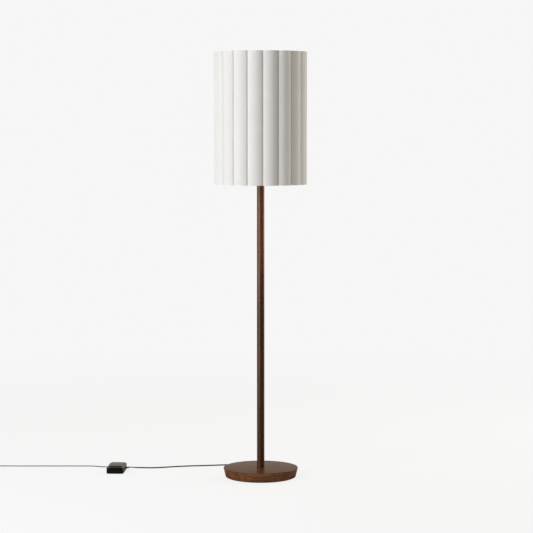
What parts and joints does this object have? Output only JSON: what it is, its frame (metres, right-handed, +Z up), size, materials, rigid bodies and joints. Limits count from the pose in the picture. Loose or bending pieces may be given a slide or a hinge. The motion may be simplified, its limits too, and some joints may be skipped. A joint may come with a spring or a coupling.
{
  "type": "floor lamp",
  "caption": "Wooden floor lamp with a scalloped drum shade on a slim turned pole, a round weighted base, and a foot switch, coiled cord and plug.",
  "frame": {"origin": "on the floor under the middle of the round base, with the cord, foot switch, coil and plug left out", "axes": "+Z up the pole; -Y towards the front; the cord leaves the base at +Y and runs towards -X"},
  "size_m": [1.2413, 0.4044, 1.525],
  "materials": {
    "wood_base": "satin walnut stain under clear varnish",
    "wood_pole": "satin dark walnut stain under clear varnish",
    "cast_weight": "rough casting",
    "felt": "dark pressed felt",
    "plated_steel": "zinc plated",
    "brass": "satin brass",
    "bronze_cap": "dark bronze lacquer",
    "card_tube": "pressed card",
    "moulded_black": "moulded, semi-gloss",
    "lead_cover": "smooth insulation",
    "white_wire": "white coated wire",
    "linen": "fine off-white weave",
    "bulb_plastic": "smooth white",
    "bulb_frost": "frosted white",
    "switch_housing": "polished black",
    "switch_rubber": "matte rubber",
    "module_plastic": "moulded grey",
    "cord_vinyl": "flexible black vinyl",
    "tie_band": "woven band"
  },
  "bodies": {
    "lamp": {"base_disc": "wood_base", "base_weight": "cast_weight", "base_pad": "felt", "base_washer": "plated_steel", "base_nut": "plated_steel", "pipe_lower": "plated_steel", "pipe_coupling": "brass", "pipe_upper": "plated_steel", "pole_lower": "wood_pole", "pole_upper": "wood_pole", "pole_cap": "bronze_cap", "harp_saddle": "brass", "harp_wire": "brass", "harp_stud": "brass", "socket_cap": "brass", "socket_shell": "brass", "socket_liner": "card_tube", "socket_insulator": "moulded_black", "screw_shell": "plated_steel", "socket_contact": "brass", "terminal_screws": "brass", "socket_leads": "lead_cover", "riser_cord": "cord_vinyl", "cord_gland": "moulded_black", "cord_lamp": "cord_vinyl", "switch_base": "switch_housing", "switch_cover": "switch_housing", "switch_module": "module_plastic", "switch_spring": "plated_steel", "switch_feet": "switch_rubber", "switch_screws": "plated_steel", "switch_reliefs": "switch_rubber", "switch_leads": "cord_vinyl", "cord_wall": "cord_vinyl", "cord_coil": "cord_vinyl", "coil_tie": "tie_band", "cord_tail": "cord_vinyl", "plug_body": "moulded_black", "plug_blades": "brass"},
    "shade": {"shade_panels": "linen", "shade_top_ring": "white_wire", "shade_bottom_ring": "white_wire", "shade_ribs": "white_wire", "shade_spider": "white_wire", "shade_top_tape": "linen", "shade_bottom_tape": "linen"},
    "finial_washer": {"finial_washer": "brass"},
    "finial": {"finial": "brass"},
    "harp_sleeve_left": {"harp_sleeve_left": "brass"},
    "harp_sleeve_right": {"harp_sleeve_right": "brass"},
    "bulb_seat": {"bulb_contact": "plated_steel"},
    "bulb": {"bulb_insulator": "moulded_black", "bulb_cap": "plated_steel", "bulb_collar": "bulb_plastic", "bulb_dome": "bulb_frost"},
    "switch_pedal": {"switch_pedal": "switch_housing"}
  },
  "joints": [
    {"name": "switch_press", "type": "slide", "parent": "lamp", "child": "switch_pedal", "axis": [0, 0, -1], "range_m": [0, 0.0025], "stiffness_N_per_m": 900, "springref_m": -0.002, "deforming": ["switch_spring"]},
    {"name": "shade_turn", "type": "hinge", "parent": "lamp", "child": "shade", "pos_m": [0, 0, 1.5], "axis": [0, 0, 1], "continuous": true},
    {"name": "finial_rise", "type": "slide", "parent": "lamp", "child": "finial_washer", "axis": [0, 0, 1], "range_m": [0, 0.0075]},
    {"name": "finial_turn", "type": "hinge", "parent": "finial_washer", "child": "finial", "pos_m": [0, 0, 1.503], "axis": [0, 0, 1], "range_deg": [0, 2870]},
    {"name": "harp_sleeve_left_lift", "type": "slide", "parent": "lamp", "child": "harp_sleeve_left", "axis": [0, 0, 1], "range_m": [0, 0.012]},
    {"name": "harp_sleeve_right_lift", "type": "slide", "parent": "lamp", "child": "harp_sleeve_right", "axis": [0, 0, 1], "range_m": [0, 0.012]},
    {"name": "bulb_rise", "type": "slide", "parent": "lamp", "child": "bulb_seat", "axis": [0, 0, 1], "range_m": [0, 0.02]},
    {"name": "bulb_turn", "type": "hinge", "parent": "bulb_seat", "child": "bulb", "pos_m": [0, 0, 1.2366], "axis": [0, 0, 1], "range_deg": [0, 1980]}
  ],
  "couplings": [
    {"joint": "bulb_rise", "follows": "bulb_turn", "m_per_rad": 0.00057773},
    {"joint": "finial_rise", "follows": "finial_turn", "m_per_rad": 0.00014961}
  ]
}
